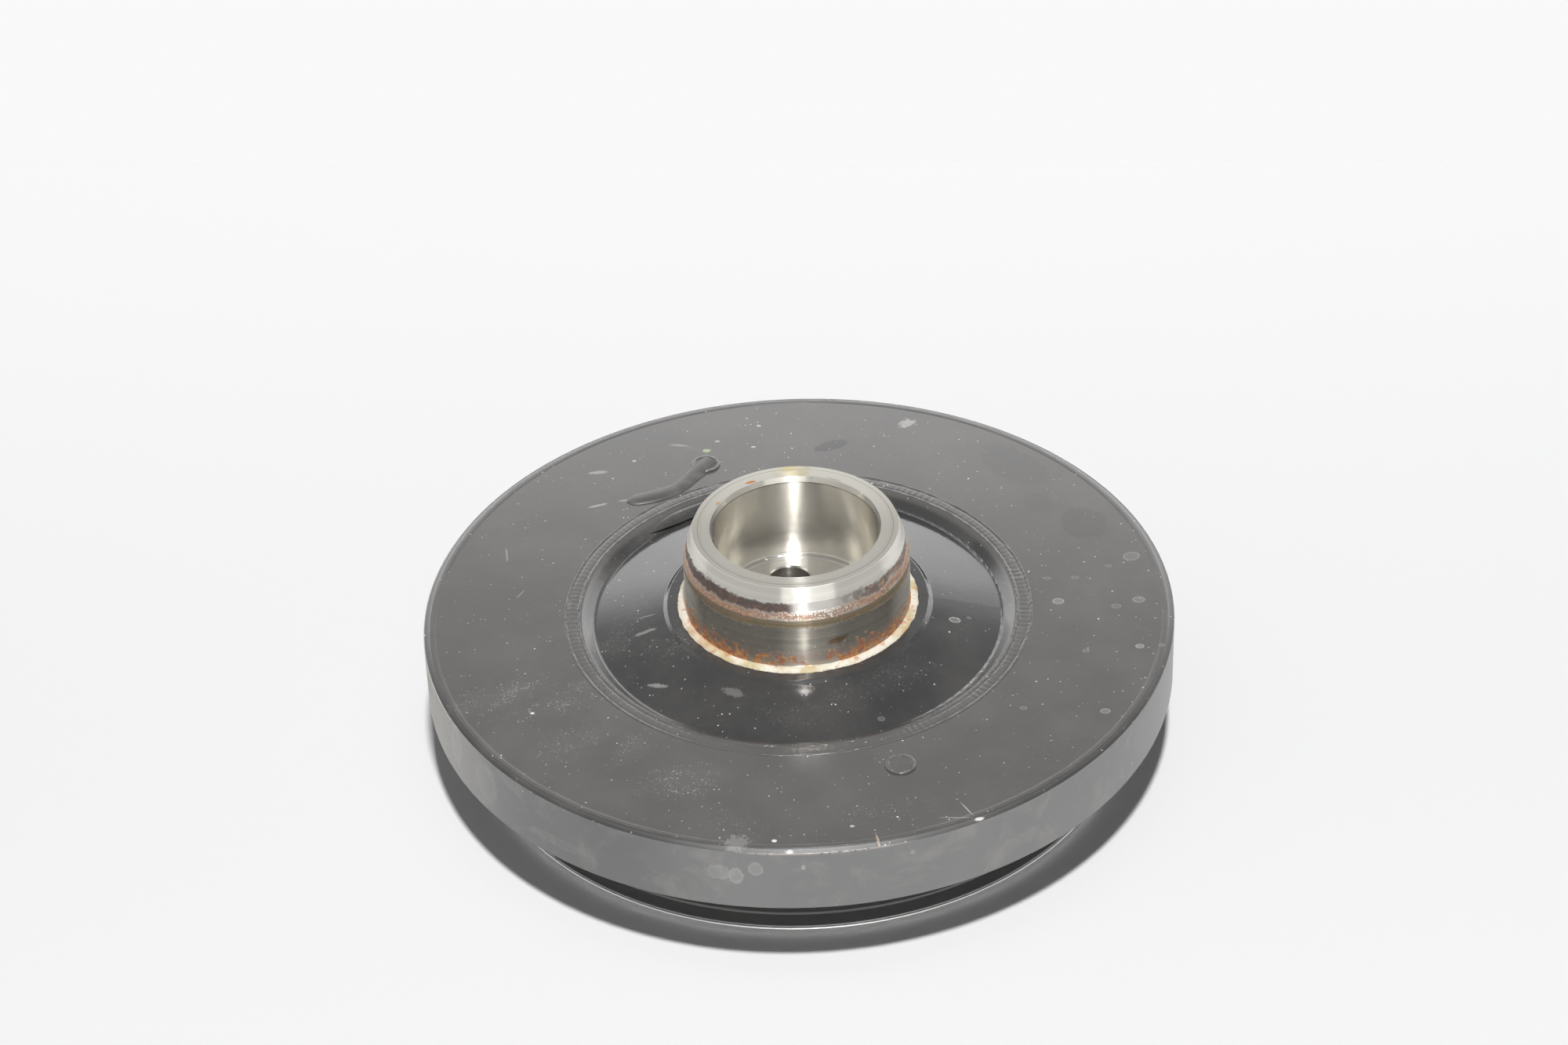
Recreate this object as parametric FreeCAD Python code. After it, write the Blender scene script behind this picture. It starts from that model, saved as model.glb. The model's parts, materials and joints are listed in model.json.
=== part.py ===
import FreeCAD, Part
import math
import os

from FreeCAD import Vector

# Crankshaft pulley with a viscous torsional vibration damper, in millimetres.
# It stands on the rim of its belt pulley with the hub nose up, as it lies on the bench.
# The axis is Z, and Z = 0 is the rest face.

# Belt pulley, below the damper
pulley_height = 20.9
groove_tip_radius = 89.8
flange_rise = 1.4
flange_thickness = 2.3
groove_count = 5
groove_pitch = 3.56
groove_half_angle = 20.0
groove_root_flat = 0.7
groove_tip_flat = 0.8
pulley_wall = 9.3
pulley_web_width = 9.5
pulley_web_thickness = 5.0
pulley_mouth_chamfer = 1.0
pulley_web_fillet = 2.5
pulley_weld_leg = 2.2
balance_hole_count = 3
balance_hole_radius = 3.5
balance_hole_depth = 2.5
balance_hole_spacing = 9.0
balance_hole_angle = -62.0

# Damper housing, a steel pan with its web and boss in one piece
damper_radius = 105.0
rim_height = 18.8
lip_land = 0.35
shoulder_width = 1.6
cover_rise = 0.8
rim_lower_chamfer = 0.5
outer_wall = 5.5
floor_thickness = 4.5
inner_wall = 6.0
chamber_corner_radius = 1.5
housing_floor_edge_radius = 2.5
land_width = 0.7
bevel_width = 3.4
web_foot_drop = 2.1
web_foot_fillet = 1.2
web_thickness = 7.0
web_underside_fillet = 3.0
boss_land = 2.8
boss_rise = 3.7
boss_step_height = 0.9
boss_step_run = 1.1
boss_edge_radius = 0.5
boss_thickness = 10.4

# Cover plate and the two welds that seal it
cover_thickness = 4.0
inner_weld_radius = 63.35
inner_weld_half_width = 1.95
inner_weld_depth = 1.8
inner_ledge_width = 4.15
outer_weld_inset = 2.6
outer_weld_half_width = 0.6
outer_weld_depth = 0.8
weld_crown = 0.15

# Fill plugs, opposite each other
plug_inset = 12.15
plug_angle = 109.7
plug_count = 2
plug_shank_radius = 3.0
plug_head_radius = 4.2
plug_head_height = 0.7
plug_head_edge = 0.35
plug_rim_width = 0.9
plug_dish_depth = 0.3

# Inertia ring, free to turn in the silicone fluid that fills the chamber
ring_outer_gap = 0.6
ring_face_gap = 0.6
ring_edge_chamfer = 1.0
bearing_band_thickness = 1.8
bearing_band_gap = 0.3
bearing_band_inset = 1.5
thrust_pad_count = 4
thrust_pad_radius = 4.0
thrust_pad_depth = 2.0
thrust_pad_gap = 0.3
thrust_pad_angle = 25.0

# Hub
journal_radius = 31.5
seat_step = 0.4
seat_collar_height = 0.9
nose_height = 29.1
nose_tip_taper = 3.0
nose_lead_in_taper = 1.4
nose_lead_in_height = 4.0
nose_neck_taper = 0.9
nose_neck_height = 2.7
nose_shoulder_height = 2.4
bore_radius = 23.25
bore_mouth_flare = 0.5
bore_mouth_depth = 1.6
bore_floor_rise = 2.4
bore_floor_fillet = 1.0
bore_relief_width = 1.8
bore_relief_depth = 0.4
hub_flange_width = 7.0
hub_flange_thickness = 6.5
hub_flange_edge_radius = 0.8
bolt_head_room = 7.8
hub_recess_depth = 3.5
hub_recess_chamfer = 1.0
hub_weld_leg = 2.0
bolt_count = 3
bolt_circle_diameter = 23.4
bolt_hole_diameter = 12.0
bolt_hole_angle = 100.0
bolt_hole_chamfer = 0.4

# Sealer ring at the hub's root
sealer_width = 1.9
sealer_depth = 0.8
sealer_crown = 0.3

# Radii that the pieces share
flange_radius = groove_tip_radius + flange_rise
pulley_inner_radius = groove_tip_radius - pulley_wall
pulley_web_inner_radius = pulley_inner_radius - pulley_web_width
outer_weld_radius = damper_radius - outer_weld_inset
chamber_outer_radius = damper_radius - outer_wall
chamber_inner_radius = inner_weld_radius + inner_ledge_width
housing_floor_inner_radius = chamber_inner_radius - inner_wall
land_inner_radius = inner_weld_radius - inner_weld_half_width - land_width
web_foot_radius = land_inner_radius - bevel_width
seat_radius = journal_radius + seat_step
sealer_outer_radius = seat_radius + sealer_width
boss_radius = sealer_outer_radius + boss_land
hub_flange_radius = journal_radius + hub_flange_width
plug_circle_radius = inner_weld_radius + plug_inset

# Heights that the pieces share
housing_floor_z = pulley_height
lip_z = housing_floor_z + rim_height
face_z = lip_z + cover_rise
ledge_z = face_z - cover_thickness
chamber_floor_z = housing_floor_z + floor_thickness
web_foot_z = lip_z - web_foot_drop
boss_top_z = lip_z + boss_rise
boss_under_z = boss_top_z - boss_thickness
nose_top_z = lip_z + nose_height
bore_floor_z = lip_z + bore_floor_rise
hub_front_z = boss_under_z - hub_flange_thickness
hub_recess_z = hub_front_z + hub_recess_depth

ring_lower_z = chamber_floor_z + ring_face_gap
ring_upper_z = ledge_z - ring_face_gap
ring_inner_radius = chamber_inner_radius + bearing_band_gap + bearing_band_thickness
ring_outer_radius = chamber_outer_radius - ring_outer_gap
thrust_pad_circle = (ring_inner_radius + ring_outer_radius) / 2

origin = Vector(0, 0, 0)
up = Vector(0, 0, 1)


def at(radius, z):
    return Vector(radius, 0, z)


def polar(radius, degrees, z):
    angle = math.radians(degrees)
    return Vector(radius * math.cos(angle), radius * math.sin(angle), z)


def section(corners):
    """Closed profile from corners (radius, z) or (radius, z, rounding), with tangent arcs."""
    points = [at(corner[0], corner[1]) for corner in corners]
    roundings = [corner[2] if len(corner) > 2 else 0.0 for corner in corners]
    count = len(points)
    entries = []
    exits = []
    arcs = []
    for i in range(count):
        point = points[i]
        if roundings[i] == 0.0:
            entries.append(point)
            exits.append(point)
            arcs.append(None)
            continue
        back = (points[i - 1] - point).normalize()
        ahead = (points[(i + 1) % count] - point).normalize()
        half = back.getAngle(ahead) / 2
        reach = roundings[i] / math.tan(half)
        start = point + back * reach
        end = point + ahead * reach
        inward = (back + ahead).normalize()
        centre = point + inward * (roundings[i] / math.sin(half))
        middle = centre - inward * roundings[i]
        entries.append(start)
        exits.append(end)
        arcs.append(Part.Arc(start, middle, end).toShape())
    edges = []
    for i in range(count):
        if arcs[i] is not None:
            edges.append(arcs[i])
        following = (i + 1) % count
        if (entries[following] - exits[i]).Length > 1e-6:
            edges.append(Part.LineSegment(exits[i], entries[following]).toShape())
    return Part.Face(Part.Wire(edges))


def turned(corners):
    return section(corners).revolve(origin, up, 360)


def bored(radius, depth, place):
    return Part.makeCylinder(radius, depth, place, up)


def belt_groove_corners():
    """Rib profile from the flange to the top groove, going up."""
    slope = math.tan(math.radians(groove_half_angle))
    depth = (groove_pitch - groove_root_flat - groove_tip_flat) / (2 * slope)
    root_radius = groove_tip_radius - depth
    first_z = flange_thickness + (flange_radius - root_radius) * slope + groove_root_flat / 2
    corners = [(flange_radius, flange_thickness)]
    for i in range(groove_count):
        centre_z = first_z + i * groove_pitch
        root_half = groove_root_flat / 2
        tip_half = (groove_pitch - groove_tip_flat) / 2
        corners.append((root_radius, centre_z - root_half))
        corners.append((root_radius, centre_z + root_half))
        corners.append((groove_tip_radius, centre_z + tip_half))
        if i < groove_count - 1:
            corners.append((groove_tip_radius, centre_z + groove_pitch - tip_half))
    return corners


def belt_pulley():
    web_under_z = housing_floor_z - pulley_web_thickness
    corners = [
        (pulley_inner_radius + pulley_mouth_chamfer, 0),
        (flange_radius, 0),
    ]
    corners += belt_groove_corners()
    corners += [
        (groove_tip_radius, housing_floor_z),
        (pulley_web_inner_radius, housing_floor_z),
        (pulley_web_inner_radius, web_under_z),
        (pulley_inner_radius, web_under_z, pulley_web_fillet),
        (pulley_inner_radius, pulley_mouth_chamfer),
    ]
    pulley = turned(corners)
    hole_circle = (pulley_web_inner_radius + pulley_inner_radius) / 2
    for i in range(balance_hole_count):
        spread = (i - (balance_hole_count - 1) / 2) * balance_hole_spacing
        mouth = polar(hole_circle, balance_hole_angle + spread, web_under_z)
        pulley = pulley.cut(bored(balance_hole_radius, balance_hole_depth, mouth))
    return pulley


def pulley_weld_bead():
    """Fillet weld between the pulley's web and the underside of the housing."""
    return turned([
        (pulley_web_inner_radius - pulley_weld_leg, housing_floor_z),
        (pulley_web_inner_radius, housing_floor_z - pulley_weld_leg),
        (pulley_web_inner_radius, housing_floor_z),
    ])


def damper_housing():
    web_slope = (boss_top_z - boss_step_height - web_foot_z) / (web_foot_radius - boss_radius - boss_step_run)
    under_foot_z = web_foot_z - web_thickness
    return turned([
        (seat_radius, boss_under_z),
        (hub_flange_radius + web_underside_fillet, boss_under_z),
        (web_foot_radius - web_foot_drop, under_foot_z + web_foot_drop * web_slope, web_underside_fillet),
        (housing_floor_inner_radius, housing_floor_z, housing_floor_edge_radius),
        (damper_radius - rim_lower_chamfer, housing_floor_z),
        (damper_radius, housing_floor_z + rim_lower_chamfer),
        (damper_radius, lip_z),
        (damper_radius - lip_land, lip_z),
        (damper_radius - lip_land - shoulder_width, face_z),
        (outer_weld_radius + outer_weld_half_width, face_z),
        (outer_weld_radius, face_z - outer_weld_depth),
        (outer_weld_radius, ledge_z),
        (chamber_outer_radius, ledge_z),
        (chamber_outer_radius, chamber_floor_z, chamber_corner_radius),
        (chamber_inner_radius, chamber_floor_z, chamber_corner_radius),
        (chamber_inner_radius, ledge_z),
        (inner_weld_radius, ledge_z),
        (inner_weld_radius, face_z - inner_weld_depth),
        (inner_weld_radius - inner_weld_half_width, face_z),
        (land_inner_radius, face_z, boss_edge_radius),
        (web_foot_radius, web_foot_z, web_foot_fillet),
        (boss_radius + boss_step_run, boss_top_z - boss_step_height, boss_edge_radius),
        (boss_radius, boss_top_z, boss_edge_radius),
        (sealer_outer_radius, boss_top_z),
        (sealer_outer_radius, boss_top_z - sealer_depth),
        (seat_radius, boss_top_z - sealer_depth),
    ])


def plug_places():
    return [plug_angle + i * 360 / plug_count for i in range(plug_count)]


def cover_plate():
    plate = turned([
        (inner_weld_radius, ledge_z),
        (outer_weld_radius, ledge_z),
        (outer_weld_radius, face_z - outer_weld_depth),
        (outer_weld_radius - outer_weld_half_width, face_z),
        (inner_weld_radius + inner_weld_half_width, face_z),
        (inner_weld_radius, face_z - inner_weld_depth),
    ])
    for degrees in plug_places():
        place = polar(plug_circle_radius, degrees, ledge_z)
        plate = plate.cut(bored(plug_shank_radius, cover_thickness, place))
    return plate


def seam_weld(radius, half_width, depth):
    """Weld that fills the groove between cover and housing, with a low crown."""
    return turned([
        (radius, face_z - depth),
        (radius + half_width, face_z),
        (radius, face_z + weld_crown),
        (radius - half_width, face_z),
    ])


def inner_weld_bead():
    return seam_weld(inner_weld_radius, inner_weld_half_width, inner_weld_depth)


def outer_weld_bead():
    return seam_weld(outer_weld_radius, outer_weld_half_width, outer_weld_depth)


def fill_plug(degrees):
    dish_radius = plug_head_radius - plug_rim_width
    head_top_z = face_z + plug_head_height
    plug = turned([
        (0, ledge_z),
        (plug_shank_radius, ledge_z),
        (plug_shank_radius, face_z),
        (plug_head_radius, face_z),
        (plug_head_radius, head_top_z, plug_head_edge),
        (dish_radius, head_top_z),
        (dish_radius - plug_dish_depth, head_top_z - plug_dish_depth),
        (0, head_top_z - plug_dish_depth),
    ])
    plug.translate(polar(plug_circle_radius, degrees, 0))
    return plug


def thrust_pad_angles():
    return [thrust_pad_angle + i * 360 / thrust_pad_count for i in range(thrust_pad_count)]


def inertia_ring():
    ring = turned([
        (ring_inner_radius, ring_lower_z),
        (ring_outer_radius - ring_edge_chamfer, ring_lower_z),
        (ring_outer_radius, ring_lower_z + ring_edge_chamfer),
        (ring_outer_radius, ring_upper_z - ring_edge_chamfer),
        (ring_outer_radius - ring_edge_chamfer, ring_upper_z),
        (ring_inner_radius, ring_upper_z),
    ])
    for degrees in thrust_pad_angles():
        lower = polar(thrust_pad_circle, degrees, ring_lower_z)
        upper = polar(thrust_pad_circle, degrees, ring_upper_z - thrust_pad_depth)
        ring = ring.cut(bored(thrust_pad_radius, thrust_pad_depth, lower))
        ring = ring.cut(bored(thrust_pad_radius, thrust_pad_depth, upper))
    return ring


def bearing_band():
    """Liner in the ring's bore, which runs on the inner wall of the chamber."""
    return turned([
        (chamber_inner_radius + bearing_band_gap, ring_lower_z + bearing_band_inset),
        (ring_inner_radius, ring_lower_z + bearing_band_inset),
        (ring_inner_radius, ring_upper_z - bearing_band_inset),
        (chamber_inner_radius + bearing_band_gap, ring_upper_z - bearing_band_inset),
    ])


def thrust_pad(degrees, side):
    proud = ring_face_gap - thrust_pad_gap
    length = thrust_pad_depth + proud
    bottom_z = ring_lower_z - proud
    if side == "upper":
        bottom_z = ring_upper_z - thrust_pad_depth
    return bored(thrust_pad_radius, length, polar(thrust_pad_circle, degrees, bottom_z))


def hub():
    collar_top_z = boss_top_z + seat_collar_height
    lead_in_base_z = nose_top_z - nose_lead_in_height
    neck_base_z = lead_in_base_z - nose_neck_height
    relief_outer = bore_radius - bore_floor_fillet
    relief_inner = relief_outer - bore_relief_width
    hole_radius = bolt_hole_diameter / 2
    recess_radius = bolt_circle_diameter / 2 + hole_radius + bolt_head_room
    body = turned([
        (0, hub_recess_z),
        (recess_radius - hub_recess_chamfer, hub_recess_z),
        (recess_radius, hub_front_z),
        (hub_flange_radius, hub_front_z, hub_flange_edge_radius),
        (hub_flange_radius, boss_under_z),
        (seat_radius, boss_under_z),
        (seat_radius, collar_top_z - seat_step),
        (journal_radius, collar_top_z),
        (journal_radius, neck_base_z - nose_shoulder_height),
        (journal_radius - nose_neck_taper, neck_base_z),
        (journal_radius - nose_lead_in_taper, lead_in_base_z),
        (journal_radius - nose_tip_taper, nose_top_z),
        (bore_radius + bore_mouth_flare, nose_top_z),
        (bore_radius, nose_top_z - bore_mouth_depth),
        (bore_radius, bore_floor_z, bore_floor_fillet),
        (relief_outer - bore_relief_depth, bore_floor_z),
        (relief_outer - 2 * bore_relief_depth, bore_floor_z - bore_relief_depth),
        (relief_inner, bore_floor_z - bore_relief_depth),
        (relief_inner - bore_relief_depth, bore_floor_z),
        (0, bore_floor_z),
    ])
    for i in range(bolt_count):
        place = polar(bolt_circle_diameter / 2, bolt_hole_angle + i * 360 / bolt_count, hub_recess_z)
        length = bore_floor_z - hub_recess_z
        body = body.cut(bored(hole_radius, length, place))
        mouth = place + up * (length - bolt_hole_chamfer)
        wide = hole_radius + bolt_hole_chamfer
        body = body.cut(Part.makeCone(hole_radius, wide, bolt_hole_chamfer, mouth, up))
        body = body.cut(Part.makeCone(wide, hole_radius, bolt_hole_chamfer, place, up))
    return body


def hub_weld_bead():
    """Fillet weld between the hub's flange and the underside of the web."""
    return turned([
        (hub_flange_radius, boss_under_z - hub_weld_leg),
        (hub_flange_radius + hub_weld_leg, boss_under_z),
        (hub_flange_radius, boss_under_z),
    ])


def sealer_ring():
    return turned([
        (seat_radius, boss_top_z - sealer_depth),
        (sealer_outer_radius, boss_top_z - sealer_depth),
        (sealer_outer_radius, boss_top_z),
        (seat_radius + sealer_width / 2, boss_top_z + sealer_crown),
        (seat_radius, boss_top_z),
    ])


def main():
    nodes = {
        "hub": hub(),
        "damper_housing": damper_housing(),
        "cover_plate": cover_plate(),
        "inner_weld_bead": inner_weld_bead(),
        "outer_weld_bead": outer_weld_bead(),
        "belt_pulley": belt_pulley(),
        "pulley_weld_bead": pulley_weld_bead(),
        "hub_weld_bead": hub_weld_bead(),
        "sealer_ring": sealer_ring(),
        "inertia_ring": inertia_ring(),
        "bearing_band": bearing_band(),
    }
    for number, degrees in enumerate(plug_places(), start=1):
        nodes[f"fill_plug_{number}"] = fill_plug(degrees)
    for side in ("lower", "upper"):
        for number, degrees in enumerate(thrust_pad_angles(), start=1):
            nodes[f"thrust_pad_{side}_{number}"] = thrust_pad(degrees, side)
    os.makedirs("parts", exist_ok=True)
    for name, shape in nodes.items():
        solid = shape.Solids[0]
        if not solid.isValid() or len(shape.Solids) != 1:
            raise ValueError(f"{name} is not one valid solid")
        solid.exportStep(f"parts/{name}.step")
        print(f"{name}: {solid.Volume / 1000:.2f} cm3")


main()
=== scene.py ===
import json
import math
import bpy
from mathutils import Matrix, Vector


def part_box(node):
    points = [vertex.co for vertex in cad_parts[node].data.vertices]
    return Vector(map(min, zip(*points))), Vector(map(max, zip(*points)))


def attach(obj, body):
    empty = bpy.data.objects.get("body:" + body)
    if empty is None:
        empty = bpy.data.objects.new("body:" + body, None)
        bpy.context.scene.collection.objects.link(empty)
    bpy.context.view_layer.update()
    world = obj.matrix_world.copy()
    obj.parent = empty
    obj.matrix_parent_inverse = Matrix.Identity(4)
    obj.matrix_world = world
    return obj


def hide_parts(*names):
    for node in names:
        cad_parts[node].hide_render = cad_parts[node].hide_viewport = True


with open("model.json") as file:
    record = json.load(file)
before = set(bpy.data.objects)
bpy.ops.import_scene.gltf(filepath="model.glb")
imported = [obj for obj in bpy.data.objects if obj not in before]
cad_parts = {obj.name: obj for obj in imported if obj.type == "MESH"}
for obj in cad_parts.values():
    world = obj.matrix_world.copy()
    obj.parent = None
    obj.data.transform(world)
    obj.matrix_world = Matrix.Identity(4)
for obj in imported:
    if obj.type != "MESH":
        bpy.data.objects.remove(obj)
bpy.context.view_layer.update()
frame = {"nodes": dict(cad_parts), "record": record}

print("frame loaded, CAD nodes:", len(frame["nodes"]))

mm = 0.001

# Heights and radii that the dressing needs, read from the CAD nodes (mm)
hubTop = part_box("hub")[1].z / mm
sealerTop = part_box("sealer_ring")[1].z / mm
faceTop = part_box("cover_plate")[1].z / mm
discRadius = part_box("damper_housing")[1].x / mm
lipDrop = 0.8  # the disc's outer edge lies this much below the cover's face
lipTop = faceTop - lipDrop
print("cover face at", round(faceTop, 2), "mm, disc radius", round(discRadius, 2), "mm")


# Small helpers for building node trees

class Value:
    # output of a node that adds, multiplies and divides like a number
    def __init__(self, socket):
        self.socket, self.tree = socket, socket.id_data

    def __add__(self, other):
        return sums("ADD", self, other)

    def __sub__(self, other):
        return sums("SUBTRACT", self, other)

    def __rsub__(self, other):
        return sums("SUBTRACT", other, self)

    def __mul__(self, other):
        return sums("MULTIPLY", self, other)

    def __truediv__(self, other):
        return sums("DIVIDE", self, other)

    def __rtruediv__(self, other):
        return sums("DIVIDE", other, self)

    def __neg__(self):
        return self * -1.0


def putIn(tree, kind, sockets=None, **settings):
    # a new node's outputs, by number and by name; values are linked and numbers are written
    node = tree.nodes.new(kind)
    for key, setting in settings.items():
        setattr(node, key, setting)
    feed(node, sockets or {})
    outputs = dict(enumerate(Value(socket) for socket in node.outputs))
    outputs.update({socket.name: Value(socket) for socket in node.outputs if socket.enabled})
    return outputs


def put(kind, sockets, **settings):
    # a new node in the tree that its values come from
    tree = next(value.tree for value in sockets.values() if isinstance(value, Value))
    return putIn(tree, kind, sockets, **settings)


def feed(node, sockets):
    for key, value in sockets.items():
        if isinstance(value, Value):
            value.tree.links.new(value.socket, node.inputs[key])
        else:
            node.inputs[key].default_value = value


def sums(operation, *values, clamp=False):
    sockets = dict(enumerate(values))
    return put("ShaderNodeMath", sockets, operation=operation, use_clamp=clamp)[0]


def most(first, *others):
    for other in others:
        first = sums("MAXIMUM", first, other)
    return first


def least(first, second):
    return sums("MINIMUM", first, second)


def splitUp(place):
    return put("ShaderNodeSeparateXYZ", {0: place})


def joined(x=0.0, y=0.0, z=0.0):
    return put("ShaderNodeCombineXYZ", {0: x, 1: y, 2: z})[0]


def vectorSum(operation, first, second=(0.0, 0.0, 0.0)):
    # LENGTH and DISTANCE come out at the second socket
    outputs = put("ShaderNodeVectorMath", {0: first, 1: second}, operation=operation)
    return outputs[1 if operation in ("LENGTH", "DISTANCE") else 0]


def noiseAt(place, scale, detail, roughness=0.5, distortion=0.0):
    sockets = {"Vector": place, "Scale": scale, "Detail": detail, "Roughness": roughness,
               "Distortion": distortion}
    return put("ShaderNodeTexNoise", sockets)[0]


def cellsAt(place, scale):
    return put("ShaderNodeTexVoronoi", {"Vector": place, "Scale": scale})


def splitColour(colour):
    return put("ShaderNodeSeparateColor", {0: colour})


def bumpOf(height, distance, strength=1.0):
    sockets = {"Height": height, "Strength": strength, "Distance": distance}
    return put("ShaderNodeBump", sockets)[0]


def blendColour(amount, first, second):
    return put("ShaderNodeMix", {0: amount, 6: first, 7: second}, data_type="RGBA")[2]


def blendValue(amount, first, second):
    return put("ShaderNodeMix", {0: amount, 2: first, 3: second})[0]


def ease(value, low, high, toLow=0.0, toHigh=1.0):
    # smooth step from toLow at low to toHigh at high
    sockets = {0: value, 1: low, 2: high, 3: toLow, 4: toHigh}
    return put("ShaderNodeMapRange", sockets, interpolation_type="SMOOTHSTEP")[0]


def shadeRamp(value, stops):
    colour = put("ShaderNodeValToRGB", {0: value})[0]
    elements = colour.socket.node.color_ramp.elements
    while len(elements) < len(stops):
        elements.new(0.5)
    for element, (spot, shade) in zip(elements, stops):
        element.position, element.color = spot, shade
    return colour


def startTree(name, kind, inputs):
    # inputs are names with the kinds of their sockets
    tree = bpy.data.node_groups.new(name, kind)
    for key, socketKind in inputs.items():
        tree.interface.new_socket(key, in_out="INPUT", socket_type=socketKind)
    return tree, putIn(tree, "NodeGroupInput")


def startGroup(name, inputs):
    # each input has its default number, or None where it is a place
    tree, source = startTree(name, "ShaderNodeTree", {
        key: "NodeSocketVector" if number is None else "NodeSocketFloat" for key, number in inputs.items()})
    for item in tree.interface.items_tree:
        if inputs[item.name] is not None:
            item.default_value = inputs[item.name]
    return tree, source


socketKinds = {"VALUE": "NodeSocketFloat", "VECTOR": "NodeSocketVector", "RGBA": "NodeSocketColor",
               "GEOMETRY": "NodeSocketGeometry"}


def endTree(tree, results):
    for key, value in results.items():
        tree.interface.new_socket(key, in_out="OUTPUT", socket_type=socketKinds[value.socket.type])
    feed(tree.nodes.new("NodeGroupOutput"), results)
    return tree


def useGroup(group, sockets):
    return put("ShaderNodeGroup", sockets, node_tree=group)


def emptyNodes(holder):
    holder.use_nodes = True
    holder.node_tree.nodes.clear()
    return holder.node_tree


def newObject(name, data):
    item = bpy.data.objects.new(name, data)
    bpy.context.scene.collection.objects.link(item)
    return item


# Effects that several finishes share

def makeRoundPlace():
    # place in mm, with the radius, the angle and the height about the axis
    tree, source = startGroup("roundPlace", {"Object": None})
    place = put("ShaderNodeVectorMath", {0: source["Object"], 3: 1 / mm}, operation="SCALE")[0]
    split = splitUp(place)
    turn = sums("DEGREES", sums("ARCTAN2", split[1], split[0]))
    degrees = sums("MODULO", turn + 360.0, 360.0)
    return endTree(tree, {
        "Place": place, "Radius": vectorSum("LENGTH", joined(split[0], split[1])), "Degrees": degrees,
        "Height": split[2], "Unrolled": joined(sums("RADIANS", degrees) * discRadius, split[2])})


def makeBand():
    # 1 between Low and High, with soft ends
    tree, source = startGroup("band", {"Value": 0.0, "Low": 0.0, "High": 1.0, "Soft": 0.1})
    soft = source["Soft"]
    rise = ease(source["Value"] - source["Low"], -soft, soft)
    return endTree(tree, {"Mask": rise * ease(source["High"] - source["Value"], -soft, soft)})


def makeSpecks():
    # scattered grains of dust, each of its own size
    tree, source = startGroup("specks", {"Place": None, "Spacing": 3.0, "Amount": 0.3, "Size": 0.2})
    cells = cellsAt(source["Place"], 1.0 / source["Spacing"])
    chance = splitColour(cells["Color"])
    across = source["Size"] / source["Spacing"] * ease(chance[1], 0.0, 1.0, 0.35)
    wobble = ease(noiseAt(source["Place"], 4.0, 1.0), 0.3, 0.7, 0.6, 1.5)
    grain = ease(cells["Distance"] * wobble / across, 1.0, 0.6)
    kept = sums("LESS_THAN", chance[0], source["Amount"])
    return endTree(tree, {"Mask": grain * kept, "Shade": chance[2]})


def makeBlot():
    # one ragged mark at a chosen place on a flat or unrolled surface; Rough is noise about zero
    tree, source = startGroup("blot", {"Place": None, "Centre": None, "Turn": None, "Reach": None,
                                       "Rough": 0.0, "Ragged": 0.3, "Soft": 0.2})
    across = put("ShaderNodeMapping", {0: source["Place"], 1: source["Centre"], 2: source["Turn"],
                                       3: source["Reach"]}, vector_type="TEXTURE")[0]
    beyond = vectorSum("LENGTH", across) + source["Rough"] * source["Ragged"] - 1.0
    return endTree(tree, {"Mask": ease(beyond, source["Soft"], -source["Soft"]),
                          "Edge": ease(sums("ABSOLUTE", beyond), source["Soft"], 0.0)})


def makeScratches():
    # short straight hairlines in two directions
    tree, source = startGroup("scratches", {"Place": None, "Spacing": 14.0, "Amount": 0.3, "Width": 0.1})
    found = 0.0
    for turn, stretch in ((0.35, 12.0), (1.9, 20.0)):
        turned = put("ShaderNodeMapping", {0: source["Place"], 1: (stretch, turn, 0.0),
                                           2: (0.0, 0.0, turn), 3: (1.0, 1.0 / stretch, 1.0)})[0]
        dashes = useGroup(specks, {"Place": turned, "Spacing": source["Spacing"],
                                   "Amount": source["Amount"], "Size": source["Width"]})
        found = most(dashes["Mask"], found)
    return endTree(tree, {"Mask": found})


rustShades = ((0.34, (0.38, 0.17, 0.13, 1)), (0.46, (0.52, 0.23, 0.13, 1)), (0.55, (0.64, 0.30, 0.12, 1)),
              (0.66, (0.72, 0.48, 0.20, 1)))


def makeRust():
    # patches of rust with their own colour, from dark brown to pale orange
    tree, source = startGroup("rust", {"Place": None, "Size": 2.0, "Amount": 0.4, "Seed": 0.0})
    shifted = vectorSum("ADD", source["Place"], source["Seed"])
    scale = 1.0 / source["Size"]
    level = noiseAt(shifted, scale, 5.0, 0.65) + (source["Amount"] - 0.5) * 0.5
    return endTree(tree, {"Mask": ease(level, 0.5, 0.56),
                          "Colour": shadeRamp(noiseAt(shifted, scale * 1.7, 4.0), rustShades)})


def makeTurning():
    # fine lathe marks that run round the axis, with no seam
    tree, source = startGroup("turning", {"Place": None, "Pitch": 0.3})
    split = splitUp(source["Place"])
    flat = joined(split[0], split[1])
    heading = vectorSum("NORMALIZE", flat)
    outward = joined(z=vectorSum("LENGTH", flat) / source["Pitch"])
    spot = put("ShaderNodeVectorMath", {0: heading, 1: (0.4, 0.4, 0.4), 2: outward},
               operation="MULTIPLY_ADD")[0]
    level = split[2] / source["Pitch"]
    marks, streaks = (put("ShaderNodeTexNoise", {"Vector": spot, "W": level, "Scale": scale, "Detail": 2.0},
                          noise_dimensions="4D")[0] for scale in (1.0, 0.17))
    return endTree(tree, {"Marks": marks, "Streaks": streaks})


roundPlace = makeRoundPlace()
band = makeBand()
specks = makeSpecks()
blot = makeBlot()
scratches = makeScratches()
rust = makeRust()
turning = makeTurning()
print("shared shader groups:", len(bpy.data.node_groups))


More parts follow.
